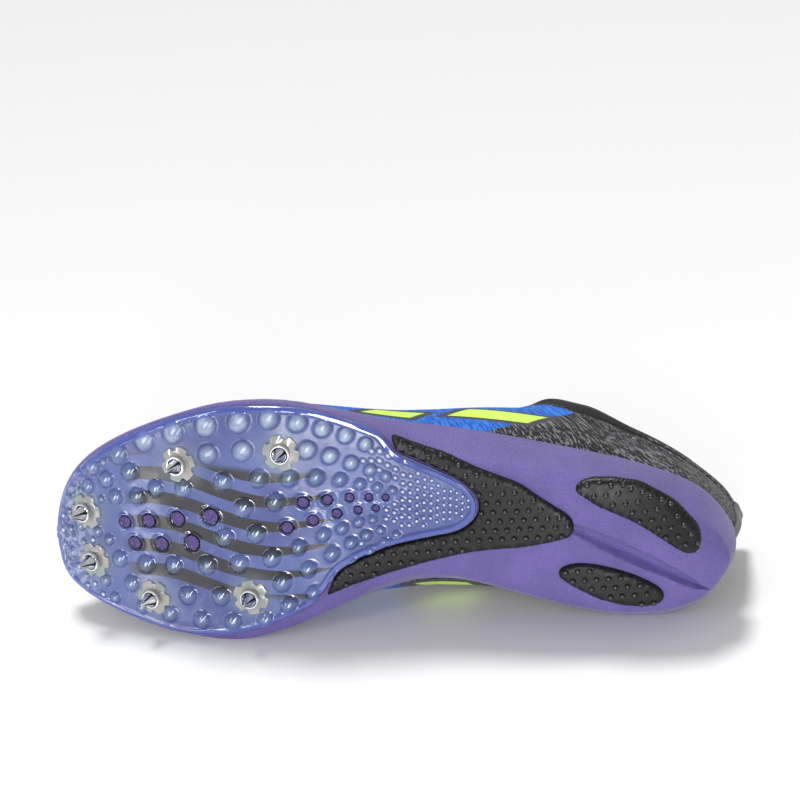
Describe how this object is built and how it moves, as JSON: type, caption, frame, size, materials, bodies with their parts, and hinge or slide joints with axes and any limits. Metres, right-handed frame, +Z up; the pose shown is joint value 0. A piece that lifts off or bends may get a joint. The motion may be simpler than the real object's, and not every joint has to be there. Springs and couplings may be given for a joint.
{
  "type": "track spike shoe",
  "caption": "Left low-cut sprint shoe with a foam sole, a clear studded forefoot plate with screw-in steel spikes, rubber at the midfoot and heel, and a knitted laced upper, lying on its side.",
  "frame": {"origin": "centre of the bounding box in X and Y, on the floor that the shoe lies on", "axes": "+Z up from the floor to the shoe's lateral side, -X to the toe, -Y where the sole faces"},
  "size_m": [0.2878, 0.1096, 0.102],
  "materials": {
    "midsole_foam": "matt lavender foam with a fine pebbled skin",
    "plate_clear": "glossy clear periwinkle plastic",
    "outsole_rubber": "satin black rubber with low round bumps",
    "receptacle_clear": "pale clear plastic",
    "spike_steel": "polished plated steel",
    "upper_knit": "black, grey and white heathered knit with blue knit over the vamp and lime overlays",
    "tongue_cloth": "dark knitted cloth",
    "insole_cloth": "brushed dark cloth",
    "lace_cord": "woven flat cord"
  },
  "bodies": {
    "root": {"midsole": "midsole_foam", "plate": "plate_clear", "midfoot_rubber": "outsole_rubber", "lateral_heel_pod": "outsole_rubber", "medial_heel_pod": "outsole_rubber", "upper": "upper_knit", "tongue": "tongue_cloth", "insole": "insole_cloth", "receptacle_1": "receptacle_clear", "spike_1": "spike_steel", "lace_bar_1": "lace_cord", "receptacle_2": "receptacle_clear", "spike_2": "spike_steel", "lace_bar_2": "lace_cord", "receptacle_3": "receptacle_clear", "spike_3": "spike_steel", "lace_bar_3": "lace_cord", "receptacle_4": "receptacle_clear", "spike_4": "spike_steel", "lace_bar_4": "lace_cord", "receptacle_5": "receptacle_clear", "spike_5": "spike_steel", "lace_bar_5": "lace_cord", "receptacle_6": "receptacle_clear", "spike_6": "spike_steel", "lace_bar_6": "lace_cord"}
  },
  "joints": []
}
